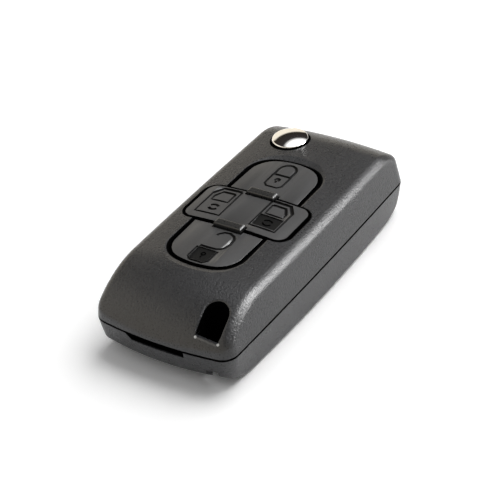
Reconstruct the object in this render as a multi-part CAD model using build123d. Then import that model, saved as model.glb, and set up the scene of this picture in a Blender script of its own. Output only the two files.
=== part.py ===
from build123d import *
import os
from math import asin, atan, cos, degrees, radians, sin, sqrt, tan

# Folding key fob: two moulded covers, a cross of keys, a chrome release button and a flip blade.
# Millimetres. The origin is on the floor under the middle of the case, +Z up, +Y to the release
# button's end, +X to the side that has no blade. The covers meet in a flat parting plane.

# Case outline at the parting plane
case_width = 34.0
case_length = 73.0
side_bow = 0.4
bottom_side_bow = 1.35
end_bow = 1.5
bottom_end_bow = 2.2
corner_radius = 3.3
bottom_corner_radius = 6.5

# Covers
lower_height = 8.0
upper_height = 9.6
cover_wall = 1.5
floor_wall = 1.5
upper_draft = 1.5
lower_draft = 0.4
bottom_edge_radius = 1.1
bottom_roll_radius = 10.5
bottom_roll_start = 8.05
shoulder_radius = 2.2
parting_gap = 0.34
crown_radius = 125.0
front_roll_radius = 18.0
front_roll_start = 15.5
back_roll_radius = 10.5
back_roll_start = 9.5

# Tongue of the lower cover in the rebate of the upper one
tongue_inset = 0.85
tongue_wall = 0.6
tongue_height = 1.1
tongue_clearance = 0.1
snap_length = 5.0
snap_height = 0.35
snap_reach = 0.25
snap_pitch = 19.0

# Keyring slot
slot_width = 5.3
slot_from_side = 3.5
slot_start = 2.9
slot_length = 6.1
slot_lip_length = 0.7
slot_lip_slope = 18.0
slot_wall = 1.2
slot_relief_height = 4.7
slot_relief_width = 2.65
slot_corner_radius = 0.8
slot_edge_radius = 0.4

# Pry slot for opening the case
pry_width = 12.6
pry_height = 1.5
pry_depth = 1.3
pry_slope = 1.8

# Key cross
pad_x = -0.3
pad_y = -1.6
band_side_margin = 3.9
band_height = 12.5
band_corner = 3.0
lobe_width = 18.2
lobe_taper = 0.5
pad_end_margin = 14.75
lobe_bow = 2.3
lobe_corner = 6.0
edge_gap = 0.55
key_gap = 0.17
key_recess = 0.15
rocker_rise = 0.25
key_edge_radius = 0.2
plate_depth = 1.9
frame_depth = 2.1
frame_margin = 2.0
flange_clearance = 0.1
nib_depth = 3.35
flange_thickness = 0.7
flange_overlap = 0.95
press_room = 0.55
switch_from_lobe_end = 7.65
switch_side_room = 0.7

# Shallow dish in the upper cover round the two long lobes
dish_margin = 2.4
dish_rise = 0.15
dish_depth = 0.45

# Webs between the keys, with the rocker's bearings and their caps
web_width = 1.3
web_depth = 3.6
web_thickness = 1.1
web_overhang = 1.5
web_foot_gap = 0.4
web_foot_inset = 0.2
web_foot_bite = 0.3
neck_gap = 1.3
bar_length = 6.6
bar_width = 1.9
bar_rise = 0.85
bar_clearance = 0.22
bar_edge_radius = 0.45
trunnion_radius = 0.8
trunnion_depth = 3.1
trunnion_clearance = 0.07
ear_width = 4.4
ear_thickness = 1.0
ear_gap = 0.05

# Silicone mat, circuit board and carrier
mat_thickness = 0.5
mat_border = 0.9
mat_band_border = 0.6
mat_band_inset = 0.4
mat_rim = 0.9
mat_dome_radius = 2.4
mat_dome_rise = 0.3
mat_nub = 0.2
nib_radius = 1.6
switch_size = 4.6
switch_corner = 0.4
switch_frame_height = 0.7
switch_dome_radius = 1.65
switch_dome_edge = 0.2
switch_height = 1.0
switch_air = 0.3
board_thickness = 0.8
board_corner = 0.8
board_side_room = 1.9
board_beyond_pad = 0.25
board_hub_room = 2.7
board_notch_room = 3.5
board_neck_inset = 2.9
board_pin_radius = 0.7
board_pin_clearance = 0.1
board_pin_inset = 1.6
board_pin_rise = 0.4
carrier_thickness = 1.0
carrier_rim = 0.6
carrier_clearance = 0.15
carrier_rim_rise = 0.3
carrier_ring_lift = 0.6
cell_radius = 10.0
cell_thickness = 3.2
cell_head_room = 0.4
cell_side_gap = 0.35
cell_clearance = 0.15
cell_ring_wall = 0.7
cell_rib_lift = 0.1
cell_rib_pitch = 6.0
cell_edge_radius = 0.5
cell_lid_radius = 8.8
cell_lid_height = 2.2
cell_lid_drop = 0.35
cell_lid_edge = 0.25
contact_thickness = 0.25
leaf_width = 3.2
leaf_foot_start = 6.5
leaf_foot_end = 2.5
leaf_touch_start = 2.0
leaf_touch_end = 3.4
leaf_tip = 5.0
leaf_tip_rise = 0.7
rim_contact_width = 4.0
rim_contact_foot = 3.0
rim_contact_lift = 0.5
rim_contact_room = 0.4
coil_length = 12.8
coil_width = 3.0
coil_height = 2.6
coil_room_end = 0.6
coil_room_side = 1.8
winding_length = 8.8
winding_overhang = 0.5
winding_below = 0.4
winding_edge = 0.6
coil_from_board_side = 2.2
coil_from_board_back = 2.1
coil_contact_gap = 2.8
chip_x = 5.2
chip_from_board_front = 6.0
chip_width = 3.4
chip_length = 4.4
chip_height = 0.85
chip_stand = 0.1
leg_reach = 0.7
leg_inset = 0.3
leg_height = 0.2
transponder_from_side = 6.0
transponder_from_end = 14.5
transponder_length = 12.0
transponder_radius = 1.5
cradle_wall = 0.9
cradle_pitch = 6.0
cradle_clearance = 0.08

# Blade and its slot
blade_width = 7.6
blade_thickness = 2.2
blade_edge_inset = 0.7
blade_tip_to_end = 7.5
blade_tip_width = 1.6
blade_end_room = 2.0
blade_groove_end = 3.0
blade_clearance = 0.3
blade_groove_width = 2.4
blade_groove_depth = 0.55
blade_tip_chamfer = 2.2
blade_seat = 7.5
slot_rib_wall = 1.0
rib_pitch = 8.0
rib_wall = 1.0

# Hub, release plunger and their stack along the release axis
release_from_side = 10.5
release_from_end = 10.7
hub_radius = 6.2
hub_below_parting = 4.8
hub_above_parting = 4.2
hub_cup_radius = 5.0
hub_floor_depth = 1.0
hub_floor_thickness = 1.2
hub_clearance = 0.1
hub_end_gap = 0.1
hub_ledge = 0.8
lug_length = 13.5
lug_height = 5.0
lug_corner = 1.5
lug_clearance = 0.3
lug_slot_gap = 0.1
lug_tangent = 130.0
lug_shoulder = 2.9
collar_wall = 0.9
pin_radius = 0.8
pin_bore = 0.36
cap_radius = 4.0
cap_bore_clearance = 0.3
cap_proud = 0.55
cap_dome = 0.75
cap_skirt = 2.6
cap_wall = 0.6
cap_rim_radius = 0.25
release_travel = 1.6
stem_radius = 2.2
stem_end_gap = 0.1
neck_radius = 1.4
neck_clearance = 0.1
plunger_disc_radius = 4.7
plunger_disc_rise = 3.0
plunger_disc_thickness = 1.0
wing_width = 2.4
wing_radius = 5.8
wing_height = 1.5
wing_clearance = 0.15
wing_end_gap = 0.2
washer_radius = 2.8
washer_thickness = 0.5
screw_head_radius = 1.8
screw_head_height = 0.7
screw_radius = 0.8
screw_length = 3.2
screw_edge_radius = 0.25
screw_slot_length = 2.4
screw_slot_width = 0.5
screw_slot_depth = 0.35
spring_wire = 0.7
spring_radius = 3.4
spring_turns = 3.25
spring_end_gap = 0.02

# Values worked out from the sizes above
parting = lower_height
top = lower_height + upper_height
half_width = case_width / 2
half_length = case_length / 2
band_width = case_width - 2 * band_side_margin
lobe_length = half_length + pad_y - band_height / 2 - pad_end_margin
switch_reach = band_height / 2 + lobe_length - switch_from_lobe_end
release_x = -half_width + release_from_side
release_y = half_length - release_from_end
plate_bottom = top - plate_depth
frame_bottom = top - frame_depth
flange_top = frame_bottom - flange_clearance
web_bottom = top - web_depth
trunnion_height = top - trunnion_depth
nib_bottom = top - nib_depth
dome_top = nib_bottom - press_room
mat_top = dome_top - mat_dome_rise
mat_bottom = mat_top - mat_thickness
board_top = mat_bottom - switch_air - switch_height
board_bottom = board_top - board_thickness
carrier_top = board_bottom
cell_bottom = carrier_top - carrier_thickness - cell_head_room - cell_thickness
blade_middle = parting
hub_bottom = parting - hub_below_parting
hub_top = parting + hub_above_parting
hub_floor_top = parting - hub_floor_depth
hub_floor_bottom = hub_floor_top - hub_floor_thickness
plunger_disc_bottom = parting + plunger_disc_rise
blade_outer = -half_width + blade_edge_inset
blade_inner = blade_outer + blade_width
slot_inner = blade_inner + blade_clearance
blade_tip = -half_length + blade_tip_to_end
lug_end = release_y - lug_length
lug_inner = slot_inner - lug_slot_gap
lug_reach = sqrt((release_x - blade_outer) ** 2 + lug_length ** 2)
key_slot_x = half_width - slot_from_side - slot_width / 2
key_slot_start = -half_length + slot_start
key_slot_end = key_slot_start + slot_length - slot_width / 2
board_half_width = half_width - cover_wall - board_side_room
board_front = pad_y - band_height / 2 - lobe_length - board_beyond_pad
board_notch = lug_end - board_notch_room
board_back = release_y - hub_radius - board_hub_room
board_neck = slot_inner + board_neck_inset
door_reach = board_half_width - mat_rim - switch_size / 2 - switch_side_room - abs(pad_x)
coil_x = board_half_width - coil_from_board_side - coil_room_end - coil_length / 2
coil_y = board_back - coil_from_board_back - coil_room_side - coil_width / 2
cell_x = slot_inner + slot_rib_wall + cell_side_gap + cell_ring_wall + cell_clearance + cell_radius
rim_contact_end = coil_y - coil_width / 2 - coil_room_side - coil_contact_gap
cell_y = rim_contact_end - rim_contact_room - rim_contact_foot - cell_radius
transponder_x = half_width - transponder_from_side
transponder_y = half_length - transponder_from_end


def box(x0, x1, y0, y1, z0, z1):
    """A block between two corners."""
    middle = ((x0 + x1) / 2, (y0 + y1) / 2, (z0 + z1) / 2)
    return Pos(*middle) * Box(x1 - x0, y1 - y0, z1 - z0)


def disc(x, y, radius, z0, z1):
    """An upright cylinder from z0 to z1."""
    return Pos(x, y, (z0 + z1) / 2) * Cylinder(radius, z1 - z0)


def ring(x, y, outer, inner, z0, z1):
    """An upright tube."""
    return disc(x, y, outer, z0, z1) - disc(x, y, inner, z0 - 1, z1 + 1)


def prism(face, z0, z1):
    """A flat face drawn at z = 0, raised between two heights."""
    return Pos(0, 0, z0) * extrude(face, amount=z1 - z0, dir=(0, 0, 1))


def plan(inset, corner=corner_radius, bow=side_bow):
    """The case outline, bowed on all four sides, moved inwards by inset."""
    across = half_width - inset
    along = half_length - inset
    corner_x = across - bow
    corner_y = along - end_bow
    sides = Wire([
        ThreePointArc((-corner_x, -corner_y), (0, -along), (corner_x, -corner_y)),
        ThreePointArc((corner_x, -corner_y), (across, 0), (corner_x, corner_y)),
        ThreePointArc((corner_x, corner_y), (0, along), (-corner_x, corner_y)),
        ThreePointArc((-corner_x, corner_y), (-across, 0), (-corner_x, -corner_y)),
    ])
    outline = Face(sides)
    return outline.fillet_2d(corner - 0.6 * inset, outline.vertices())


def upper_form(inset):
    """The upper cover's outside: drafted walls, a crown across and rolls at both ends."""
    walls = loft([
        Pos(0, 0, parting) * plan(inset),
        Pos(0, 0, top + 1) * plan(inset + upper_draft),
    ], ruled=True)
    crown = top - inset
    front_y = -half_length + front_roll_start
    back_y = half_length - back_roll_start
    front = front_roll_radius - inset
    back = back_roll_radius - inset
    diagonal = cos(radians(45))
    front_centre = crown - front
    back_centre = crown - back
    base = parting - 4
    side = Wire([
        Line((0, front_y - front, base), (0, front_y - front, front_centre)),
        ThreePointArc(
            (0, front_y - front, front_centre),
            (0, front_y - front * diagonal, front_centre + front * diagonal),
            (0, front_y, crown)),
        Line((0, front_y, crown), (0, back_y, crown)),
        ThreePointArc(
            (0, back_y, crown),
            (0, back_y + back * diagonal, back_centre + back * diagonal),
            (0, back_y + back, back_centre)),
        Line((0, back_y + back, back_centre), (0, back_y + back, base)),
        Line((0, back_y + back, base), (0, front_y - front, base)),
    ])
    axis = Axis((0, 0, top - crown_radius), (0, 1, 0))
    half_angle = degrees(asin((half_width + 3) / (crown_radius - upper_height)))
    return walls & revolve(Face(side).rotate(axis, -half_angle), axis, 2 * half_angle)


def lower_form(inset):
    """The lower cover's walls, moved inwards by inset: rounder and more bowed towards the bottom."""
    sections = []
    for share in (1, 2 / 3, 1 / 3, 0):
        corner = corner_radius + (bottom_corner_radius - corner_radius) * share ** 3
        bow = side_bow + (bottom_side_bow - side_bow) * share
        height = parting - (parting - inset) * share
        sections.append(Pos(0, 0, height) * plan(inset + lower_draft * share, corner, bow))
    return loft(sections)


def underside(rise):
    """What lies above the underside, which is flat and rolls up at both bowed ends, raised by rise."""
    bow_radius = (half_width ** 2 + bottom_end_bow ** 2) / (2 * bottom_end_bow)
    axis_y = bow_radius - half_length
    roll_y = bottom_roll_start - half_length
    radius = bottom_roll_radius - rise
    diagonal = radius * cos(radians(45))
    lid = parting + bottom_roll_radius
    side = Face(Wire([
        Line((0, roll_y - radius, lid), (0, roll_y - radius, bottom_roll_radius)),
        ThreePointArc(
            (0, roll_y - radius, bottom_roll_radius),
            (0, roll_y - diagonal, bottom_roll_radius - diagonal),
            (0, roll_y, rise)),
        Line((0, roll_y, rise), (0, 1, rise)),
        Line((0, 1, rise), (0, 1, lid)),
        Line((0, 1, lid), (0, roll_y - radius, lid)),
    ]))
    axis = Axis((0, axis_y, 0), (0, 0, 1))
    half_angle = degrees(atan((half_width + 2) / (axis_y - 1)))
    near = revolve(side.rotate(axis, -half_angle), axis, 2 * half_angle)
    near &= box(-half_width - 1, half_width + 1, -half_length - 1, 0, 0, lid)
    return near + near.rotate(Axis.Z, 180)


def crown_cylinder(inset):
    """The cylinder whose top is the case's crowned back, moved down by inset."""
    return Pos(0, 0, top - crown_radius) * Rot(90, 0, 0) * Cylinder(crown_radius - inset, 2 * case_length)


def lobe(side, margin):
    """The outline of the lock key's lobe (side 1) or the unlock key's (side -1), from the pad's middle."""
    half = lobe_width / 2 + margin
    length = band_height / 2 + lobe_length + margin
    shoulder = length - lobe_bow
    outline = Face(Wire([
        Line((-half, 0), (-half + lobe_taper, shoulder)),
        ThreePointArc((-half + lobe_taper, shoulder), (0, length), (half - lobe_taper, shoulder)),
        Line((half - lobe_taper, shoulder), (half, 0)),
        Line((half, 0), (-half, 0)),
    ]))
    outline = outline.fillet_2d(lobe_corner + margin, outline.vertices().sort_by(Axis.Y)[-2:])
    return Pos(pad_x, pad_y) * (outline if side > 0 else outline.rotate(Axis.Z, 180))


def oval(margin):
    """Both lobes as one long rounded outline."""
    half = lobe_width / 2 + margin
    length = band_height / 2 + lobe_length + margin
    shoulder = length - lobe_bow
    outline = Face(Wire([
        Line((-half, -shoulder), (-half, shoulder)),
        ThreePointArc((-half, shoulder), (0, length), (half, shoulder)),
        Line((half, shoulder), (half, -shoulder)),
        ThreePointArc((half, -shoulder), (0, -length), (-half, -shoulder)),
    ]))
    return Pos(pad_x, pad_y) * outline.fillet_2d(lobe_corner + margin, outline.vertices())


def band(margin):
    """The outline of the door rocker's band across the pad."""
    width = band_width + 2 * margin
    height = band_height + 2 * margin
    return Pos(pad_x, pad_y) * RectangleRounded(width, height, band_corner + margin)


def snap_zones(margin):
    """The stretches of the covers' joint that snap together: three at the side and one at each end."""
    long = snap_length / 2 + margin
    low = parting - 1
    high = parting + 2
    zones = box(-half_width / 2 - long, -half_width / 2 + long, -half_length, -half_length / 2, low, high)
    zones += box(half_width / 2 - long, half_width / 2 + long, half_length / 2, half_length, low, high)
    for step in (-1, 0, 1):
        y = step * snap_pitch
        zones += box(half_width / 2, half_width, y - long, y + long, low, high)
    return zones


def snap_ring(margin):
    """The ridge round the tongue that snaps into the upper cover, or its groove with a margin."""
    low = parting + (tongue_height - snap_height) / 2 + tongue_clearance - margin
    high = low + snap_height + 2 * margin
    ridge = prism(plan(tongue_inset - snap_reach - margin), low, high)
    ridge -= prism(plan(tongue_inset + tongue_wall / 2), low - 1, high + 1)
    return ridge & snap_zones(margin)


def band_edge(side):
    """Where the band meets the lock key (side 1) or the unlock key (side -1)."""
    return pad_y + side * band_height / 2


def between(edge, start, end):
    """Two heights along Y measured from an edge, outwards from the pad's middle, in rising order."""
    direction = 1 if edge > pad_y else -1
    return sorted((edge + direction * start, edge + direction * end))


def keyring_outline(margin):
    """The keyring slot: straight at the case's end, round at the other."""
    half = slot_width / 2 + margin
    start = key_slot_start - margin
    middle = key_slot_end
    outline = Face(Wire([
        Line((key_slot_x - half, start), (key_slot_x - half, middle)),
        ThreePointArc(
            (key_slot_x - half, middle), (key_slot_x, middle + half), (key_slot_x + half, middle)),
        Line((key_slot_x + half, middle), (key_slot_x + half, start)),
        Line((key_slot_x + half, start), (key_slot_x - half, start)),
    ]))
    return outline.fillet_2d(slot_corner_radius + margin, outline.vertices().sort_by(Axis.Y)[:2])


def keyring_post(low, high):
    """The wall round the keyring slot, solid out to the case's corner."""
    corner = box(key_slot_x, half_width, -half_length, key_slot_end, low, high)
    return prism(keyring_outline(slot_wall), low, high) + corner


def blade_room():
    """What the blade and its lug sweep between folded and open, cut from the case's walls."""
    low = blade_middle - blade_thickness / 2 - blade_clearance
    high = blade_middle + blade_thickness / 2 + blade_clearance
    outside = -half_width - 2
    slot = box(outside, slot_inner, blade_tip - blade_clearance, release_y, low, high)
    lug_low = blade_middle - lug_height / 2 - lug_clearance
    lug_high = blade_middle + lug_height / 2 + lug_clearance
    swing = disc(release_x, release_y, lug_reach + lug_clearance, lug_low, lug_high)
    swing &= box(outside, release_x, 0, case_length, lug_low, lug_high)
    lug_open = 2 * release_x - blade_outer + lug_clearance
    way_out = box(release_x, lug_open, release_y, case_length, lug_low, lug_high)
    return slot + swing + way_out


def roof_edges(form):
    """The edges where the crowned back meets the walls."""
    roof = [face for face in form.faces() if face.normal_at(face.center()).Z > 0.35]
    found = []
    for edge in form.edges():
        touching = sum(1 for face in roof for other in face.edges() if other.is_same(edge))
        if touching == 1:
            found.append(edge)
    return found


def top_cover():
    """Upper cover: crowned shell with the key window, its webs, the button's collar and the slot's tube."""
    outside = upper_form(0)
    outside = fillet(roof_edges(outside), shoulder_radius)
    cover = outside - upper_form(cover_wall)
    ceiling = top - cover_wall
    collar_bottom = blade_middle + lug_height / 2 + lug_clearance
    bearing = hub_radius + hub_clearance
    inner = prism(oval(frame_margin), frame_bottom, top + 1) + prism(band(frame_margin), frame_bottom, top + 1)
    inner += keyring_post(parting, top + 1)
    inner += disc(release_x, release_y, bearing + collar_wall, collar_bottom, ceiling)
    cover += inner & outside
    window = prism(lobe(1, 0), web_bottom - 1, top + 2) + prism(lobe(-1, 0), web_bottom - 1, top + 2)
    window += prism(band(0), web_bottom - 1, top + 2)
    cover -= window
    cover -= loft([
        Pos(0, 0, top - dish_depth) * oval(0),
        Pos(0, 0, top + dish_rise) * oval(dish_margin),
    ], ruled=True)
    for side in (1, -1):
        cover += web(side)
    cover -= disc(release_x, release_y, bearing, parting, ceiling)
    cover -= disc(release_x, release_y, cap_radius + cap_bore_clearance, parting, top + 2)
    cover -= prism(keyring_outline(0), parting - 1, top + 2)
    cover = fillet(slot_mouth(cover), slot_edge_radius)
    cover -= slot_lip()
    cover -= blade_room()
    rebate_top = parting + tongue_height + tongue_clearance
    rebate = prism(plan(tongue_inset - tongue_clearance), parting, rebate_top)
    cover -= rebate - prism(plan(cover_wall + 1), parting, rebate_top)
    cover -= snap_ring(tongue_clearance)
    cover -= box(-half_width, half_width, -half_length, half_length, parting - 1, parting + parting_gap / 2)
    return cover


def slot_lip():
    """The wedge cut from the keyring slot's near edge, where the ring bears."""
    start = key_slot_start - slot_lip_length
    down_roll = -half_length + front_roll_start - start
    height = top - front_roll_radius + sqrt(front_roll_radius ** 2 - down_roll ** 2)
    height -= crown_radius - sqrt(crown_radius ** 2 - key_slot_x ** 2)
    inner = slot_lip_length + slot_wall
    fall = inner * tan(radians(slot_lip_slope))
    wedge = Face(Wire(Polyline((0, 0), (inner, -fall), (inner, slot_width), (0, slot_width), close=True)))
    wedge = Plane(origin=(-slot_width / 2, 0, 0), x_dir=(0, 1, 0), z_dir=(1, 0, 0)) * wedge
    wedge = extrude(wedge, amount=slot_width, dir=(1, 0, 0))
    lean = degrees(asin(key_slot_x / crown_radius))
    return Pos(key_slot_x, start, height) * Rot(0, lean, 0) * wedge


def slot_mouth(cover):
    """The edges where the keyring slot opens through the upper cover's back."""
    reach = slot_width / 2 + 0.01
    far_end = key_slot_start + slot_length + 0.01
    found = []
    for edge in cover.edges():
        extent = edge.bounding_box()
        across = extent.min.X > key_slot_x - reach and extent.max.X < key_slot_x + reach
        along = extent.min.Y > key_slot_start - 0.01 and extent.max.Y < far_end
        upright = extent.size.X + extent.size.Y < 0.01
        if across and along and not upright and extent.max.Z > parting + 1:
            found.append(edge)
    return found


def web(side):
    """A web between the band and a lobe, with the rocker's bearing and the raised bar over it."""
    edge = band_edge(side)
    web_top = web_bottom + web_thickness
    low, high = between(edge, -web_width / 2, web_width / 2)
    reach = lobe_width / 2 + web_overhang
    piece = box(pad_x - reach, pad_x + reach, low, high, web_bottom, web_top)
    foot_low, foot_high = between(edge, web_foot_gap, web_foot_gap + web_width)
    for hand in (1, -1):
        foot_x = sorted((pad_x + hand * (lobe_width / 2 + web_foot_inset), pad_x + hand * reach))
        piece += box(*foot_x, foot_low, foot_high, web_bottom, frame_bottom + web_foot_bite)
    bar_low, bar_high = between(edge, -bar_width / 2, bar_width / 2)
    bar_x = (pad_x - bar_length / 2, pad_x + bar_length / 2)
    bar = box(*bar_x, bar_low, bar_high, web_top - 0.1, top + bar_rise)
    bar = fillet(bar.edges().group_by(Axis.Z)[-1], bar_edge_radius)
    piece += bar
    bore = trunnion_radius + trunnion_clearance
    groove = Pos(pad_x, edge, trunnion_height) * Rot(90, 0, 0) * Cylinder(bore, 2 * bar_width)
    groove += box(
        pad_x - bore, pad_x + bore, edge - bar_width, edge + bar_width, web_bottom - 1, trunnion_height)
    return piece - groove


def bottom_cover():
    """Lower cover: tray with the blade's rib bed, the hub's seat, the cell's ribs and the tongue."""
    outside = lower_block()
    tray = outside - (lower_form(cover_wall) & underside(floor_wall))
    wall_inner = slot_inner + slot_rib_wall
    slot_floor = blade_middle - blade_thickness / 2 - blade_clearance
    bearing = hub_radius + hub_clearance
    seat_top = blade_middle - lug_height / 2 - lug_clearance - hub_end_gap
    lug_swing = release_y - lug_reach - lug_clearance
    bed_start = blade_tip - blade_end_room
    inner = box(slot_inner, wall_inner, bed_start, lug_swing, 0, parting)
    inner += box(-half_width, wall_inner, bed_start, bed_start + rib_wall, 0, parting)
    rib_y = blade_tip + rib_pitch / 2
    while rib_y < lug_swing:
        inner += box(-half_width, slot_inner, rib_y, rib_y + rib_wall, 0, slot_floor)
        rib_y += rib_pitch
    for step in (-1, 0, 1):
        offset = step * cell_rib_pitch
        half = sqrt(cell_radius ** 2 - offset ** 2)
        inner += box(
            cell_x - half, cell_x + half, cell_y + offset - rib_wall / 2, cell_y + offset + rib_wall / 2,
            0, cell_bottom - cell_rib_lift)
    inner += ring(release_x, release_y, bearing + collar_wall, bearing, 0, seat_top)
    inner += ring(release_x, release_y, bearing + collar_wall, hub_cup_radius, 0, hub_bottom - hub_end_gap)
    inner += transponder_cradle()
    inner += keyring_post(0, parting)
    tray += inner & outside
    tongue = prism(plan(tongue_inset), parting - 1, parting + tongue_height)
    tongue -= prism(plan(tongue_inset + tongue_wall), parting - 1, parting + tongue_height)
    tray -= box(
        -half_width, half_width, -half_length, half_length, parting - parting_gap / 2, parting + 1)
    tray += tongue + snap_ring(0)
    tray -= prism(keyring_outline(0), -1, parting + 2)
    relief = box(
        key_slot_x + slot_width / 2 - slot_relief_width, key_slot_x + slot_width / 2,
        -half_length - 1, key_slot_start + 1, -1, slot_relief_height)
    tray -= relief
    tray -= blade_room()
    tray -= pry_slot()
    return tray


def transponder_cradle():
    """Two ribs with round notches that hold the transponder on the lower cover's floor."""
    height = floor_wall + transponder_radius
    half = transponder_radius + cradle_wall
    cradle = None
    for step in (-1, 1):
        y = transponder_y + step * cradle_pitch / 2
        rib = box(transponder_x - half, transponder_x + half, y - cradle_wall / 2, y + cradle_wall / 2, 0, height)
        cradle = rib if cradle is None else cradle + rib
    bore = Cylinder(transponder_radius + cradle_clearance, transponder_length)
    return cradle - Pos(transponder_x, transponder_y, height) * Rot(90, 0, 0) * bore


def lower_block():
    """The lower cover's outside: drafted walls, rolled up at both ends, with its bottom edge rounded."""
    block = lower_form(0) & underside(0)
    floor = [face for face in block.faces() if face.normal_at(face.center()).Z < -0.35]
    edges = []
    for edge in block.edges():
        touching = sum(1 for face in floor for other in face.edges() if other.is_same(edge))
        if touching == 1:
            edges.append(edge)
    return fillet(edges, bottom_edge_radius)


def pry_slot():
    """The shallow slot under the parting line at the keyring end."""
    half = pry_width / 2
    mouth = Face(Wire([
        Line((-half - pry_slope, 0), (half, 0)),
        Line((half, 0), (half, -pry_height)),
        Line((half, -pry_height), (-half, -pry_height)),
        Line((-half, -pry_height), (-half - pry_slope, 0)),
    ]))
    mouth = Plane(origin=(0, -half_length - 1, parting), x_dir=(1, 0, 0), z_dir=(0, -1, 0)) * mouth
    return extrude(mouth, amount=1 + end_bow + pry_depth, dir=(0, 1, 0))


def long_key(side):
    """The lock key (side 1) or the unlock key (side -1): a crowned plate on a flange held by the window."""
    edge = band_edge(side)
    far = pad_y + side * case_length / 2
    plate_low, plate_high = sorted((edge + side * key_gap, far))
    plate = prism(lobe(side, -edge_gap), plate_bottom, top + 1)
    plate &= box(-half_width, half_width, plate_low, plate_high, plate_bottom, top + 1)
    notch_low, notch_high = between(edge, -bar_width, bar_width / 2 + bar_clearance)
    notch_half = bar_length / 2 + bar_clearance
    plate -= box(
        pad_x - notch_half, pad_x + notch_half, notch_low, notch_high, plate_bottom - 1, top + 2)
    plate &= crown_cylinder(key_recess)
    crown_face = plate.faces().sort_by(SortBy.AREA)[-2:].sort_by(Axis.Z)[-1]
    plate = fillet(crown_face.edges(), key_edge_radius)
    flange_bottom = flange_top - flange_thickness
    neck_low, neck_high = sorted((edge + side * (web_width / 2 + neck_gap), far))
    neck = prism(lobe(side, -edge_gap), flange_bottom, plate_bottom)
    neck += prism(lobe(side, flange_overlap - edge_gap), flange_bottom, flange_top)
    neck &= box(-half_width, half_width, neck_low, neck_high, flange_bottom, plate_bottom)
    nib_y = pad_y + side * switch_reach
    return plate + neck + disc(pad_x, nib_y, nib_radius, nib_bottom, flange_bottom)


def door_rocker():
    """The band across the pad: a crowned plate on two ears with trunnions, and a nib at each end."""
    outline = RectangleRounded(band_width - 2 * edge_gap, band_height - 2 * key_gap, band_corner - edge_gap)
    plate = prism(Pos(pad_x, pad_y) * outline, plate_bottom, top + 1)
    for side in (1, -1):
        edge = band_edge(side)
        notch_low, notch_high = between(edge, -bar_width / 2 - bar_clearance, bar_width)
        notch_half = bar_length / 2 + bar_clearance
        plate -= box(
            pad_x - notch_half, pad_x + notch_half, notch_low, notch_high, plate_bottom - 1, top + 2)
    plate &= crown_cylinder(key_recess - rocker_rise)
    crown_face = plate.faces().sort_by(SortBy.AREA)[-2:].sort_by(Axis.Z)[-1]
    rocker = fillet(crown_face.edges(), key_edge_radius)
    ear_bottom = trunnion_height - trunnion_radius
    ear_face = -bar_width / 2 - bar_clearance - ear_gap
    for side in (1, -1):
        edge = band_edge(side)
        ear_low, ear_high = between(edge, ear_face - ear_thickness, ear_face)
        rocker += box(
            pad_x - ear_width / 2, pad_x + ear_width / 2, ear_low, ear_high, ear_bottom, plate_bottom)
        pin_low, pin_high = between(edge, ear_face, web_width / 2)
        pin = Cylinder(trunnion_radius, pin_high - pin_low)
        rocker += Pos(pad_x, (pin_low + pin_high) / 2, trunnion_height) * Rot(90, 0, 0) * pin
    for hand in (1, -1):
        rocker += disc(pad_x + hand * door_reach, pad_y, nib_radius, nib_bottom, plate_bottom)
    return rocker


def switch_places():
    """Each key's contact point on the board, by the name of its switch."""
    return {
        "switch_lock": (pad_x, pad_y + switch_reach),
        "switch_unlock": (pad_x, pad_y - switch_reach),
        "switch_door_left": (pad_x - door_reach, pad_y),
        "switch_door_right": (pad_x + door_reach, pad_y),
    }


def board_outline(margin):
    """The circuit board: full width over the battery, narrow beside the blade's hub."""
    right = board_half_width + margin
    wide = box(-right, right, board_front - margin, board_notch + margin, -1, 0)
    narrow = box(board_neck - margin, right, board_notch - 1, board_back + margin, -1, 0)
    return (wide + narrow).faces().sort_by(Axis.Z)[-1]


def keypad_mat():
    """Silicone mat: a thin sheet on a border that stands on the board, with a dome under each key."""
    sheet_outline = prism(lobe(1, mat_border), 0, 1) + prism(lobe(-1, mat_border), 0, 1)
    sheet_outline += prism(band(mat_band_border), 0, 1)
    inner_outline = prism(lobe(1, 0), 0, 1) + prism(lobe(-1, 0), 0, 1) + prism(band(-mat_band_inset), 0, 1)
    board_area = prism(board_outline(0), 0, 1)
    inner_area = prism(board_outline(-mat_rim), 0, 1)
    outer = (sheet_outline & board_area).faces().sort_by(Axis.Z)[-1]
    inner = (inner_outline & inner_area).faces().sort_by(Axis.Z)[-1]
    outer = Pos(0, 0, -1) * outer
    inner = Pos(0, 0, -1) * inner
    mat = prism(outer, board_top, mat_top) - prism(inner, board_top - 1, mat_bottom)
    for x, y in switch_places().values():
        dome = Pos(x, y, mat_top + mat_dome_rise / 2) * Cone(
            mat_dome_radius, mat_dome_radius - mat_dome_rise, mat_dome_rise)
        mat += dome
        mat += disc(x, y, nib_radius / 2, mat_bottom - mat_nub, mat_bottom + mat_nub)
    return mat


def tact_switch(x, y):
    """A flat push switch: a square frame with a round metal dome."""
    half = switch_size / 2
    frame = box(x - half, x + half, y - half, y + half, board_top, board_top + switch_frame_height)
    frame = fillet(frame.edges().filter_by(Axis.Z), switch_corner)
    dome = disc(x, y, switch_dome_radius, board_top, board_top + switch_height)
    return frame + fillet(dome.edges().group_by(Axis.Z)[-1], switch_dome_edge)


def board_pins():
    """Where the carrier's two pins come through the board: its near left and far right corners."""
    return (
        (-board_half_width + board_pin_inset, board_front + board_pin_inset),
        (board_half_width - board_pin_inset, board_back - board_pin_inset),
    )


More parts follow.
